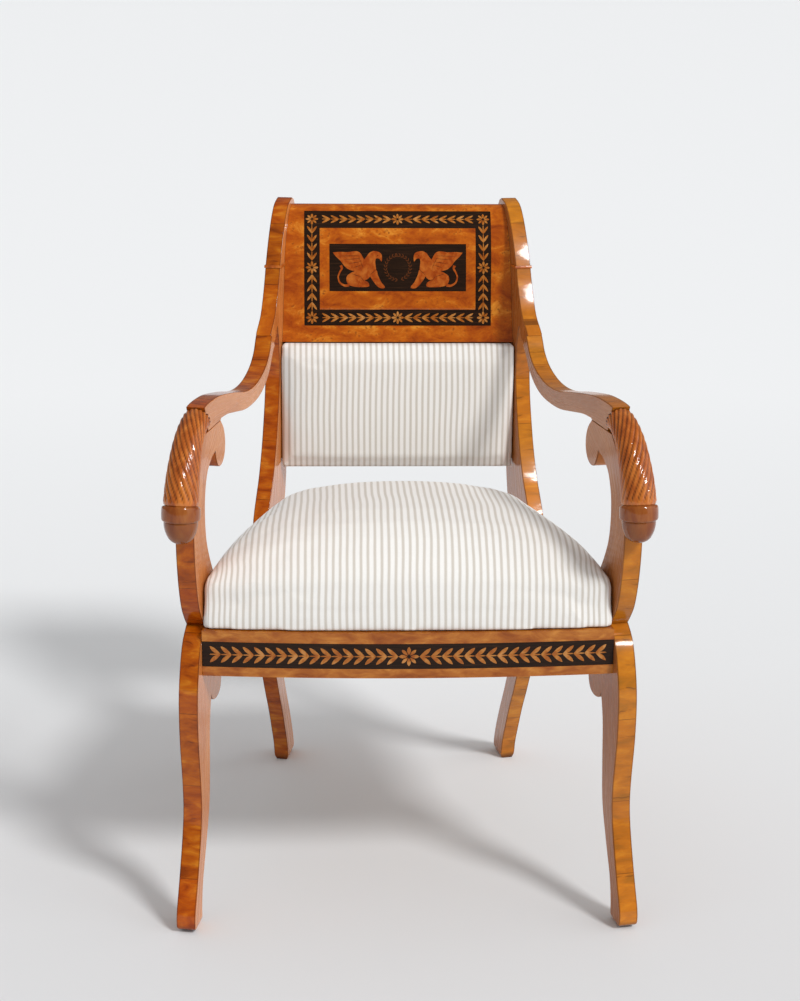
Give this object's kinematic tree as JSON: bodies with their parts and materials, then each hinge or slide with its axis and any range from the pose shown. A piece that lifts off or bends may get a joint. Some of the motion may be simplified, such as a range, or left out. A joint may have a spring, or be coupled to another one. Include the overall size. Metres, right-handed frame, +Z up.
{
  "type": "klismos armchair",
  "caption": "Klismos armchair with sabre legs, scrolled stiles, carved hand rests, an inlaid crest, an upholstered back panel and a loose sprung seat that lifts out.",
  "frame": {"origin": "on the floor, under the middle of the chair's bounding box", "axes": "+X to the right as one looks at the chair's front, +Y towards the back, +Z up; the chair faces -Y"},
  "size_m": [0.628, 0.6694, 0.896],
  "materials": {
    "figured_birch": "figured birch veneer under a glossy shellac polish",
    "burr_birch": "burr birch veneer under a glossy shellac polish",
    "carved_birch": "carved solid birch, stained darker in the hollows, polished",
    "ebonised_veneer": "ebonised veneer inlaid with light birch, polished",
    "inner_pine": "unfinished softwood",
    "ticking": "striped cotton ticking, taupe on off-white",
    "jute_webbing": "woven jute",
    "spring_steel": "bright drawn wire",
    "screw_steel": "dull steel"
  },
  "bodies": {
    "chair_frame": {"front_leg_right": "figured_birch", "front_leg_left": "figured_birch", "arm_support_right": "figured_birch", "arm_support_left": "figured_birch", "arm_right": "figured_birch", "arm_left": "figured_birch", "hand_rest_right": "carved_birch", "hand_rest_left": "carved_birch", "back_stile_right": "figured_birch", "back_stile_left": "figured_birch", "ring_moulding_right": "carved_birch", "ring_moulding_left": "carved_birch", "side_rail_right": "figured_birch", "side_rail_left": "figured_birch", "front_rail": "figured_birch", "front_rail_band": "ebonised_veneer", "rear_rail": "figured_birch", "crest_board": "burr_birch", "crest_border_veneer": "ebonised_veneer", "crest_tablet_veneer": "ebonised_veneer", "seat_ledger_right": "inner_pine", "seat_ledger_left": "inner_pine", "corner_block_front_right": "inner_pine", "corner_block_front_left": "inner_pine", "corner_block_rear_right": "inner_pine", "corner_block_rear_left": "inner_pine", "block_screw_front_right": "screw_steel", "block_screw_front_left": "screw_steel", "block_screw_rear_right": "screw_steel", "block_screw_rear_left": "screw_steel", "back_frame_low": "inner_pine", "back_frame_high": "inner_pine", "back_frame_side_right": "inner_pine", "back_frame_side_left": "inner_pine", "back_web_cross": "jute_webbing", "back_web_upright_right": "jute_webbing", "back_web_upright_left": "jute_webbing", "back_pad": "ticking", "back_cover": "ticking"},
    "loose_seat": {"seat_frame_front": "inner_pine", "seat_frame_rear": "inner_pine", "seat_frame_side_right": "inner_pine", "seat_frame_side_left": "inner_pine", "seat_web_along_1": "jute_webbing", "seat_web_across_1": "jute_webbing", "seat_web_along_2": "jute_webbing", "seat_web_across_2": "jute_webbing", "seat_web_along_3": "jute_webbing", "seat_web_across_3": "jute_webbing", "seat_spring_1": "spring_steel", "seat_spring_2": "spring_steel", "seat_spring_3": "spring_steel", "seat_spring_4": "spring_steel", "seat_spring_5": "spring_steel", "seat_cushion": "ticking"}
  },
  "joints": [
    {"name": "seat_lift", "type": "slide", "parent": "chair_frame", "child": "loose_seat", "axis": [0, 0, 1], "range_m": [0, 0.12]}
  ]
}
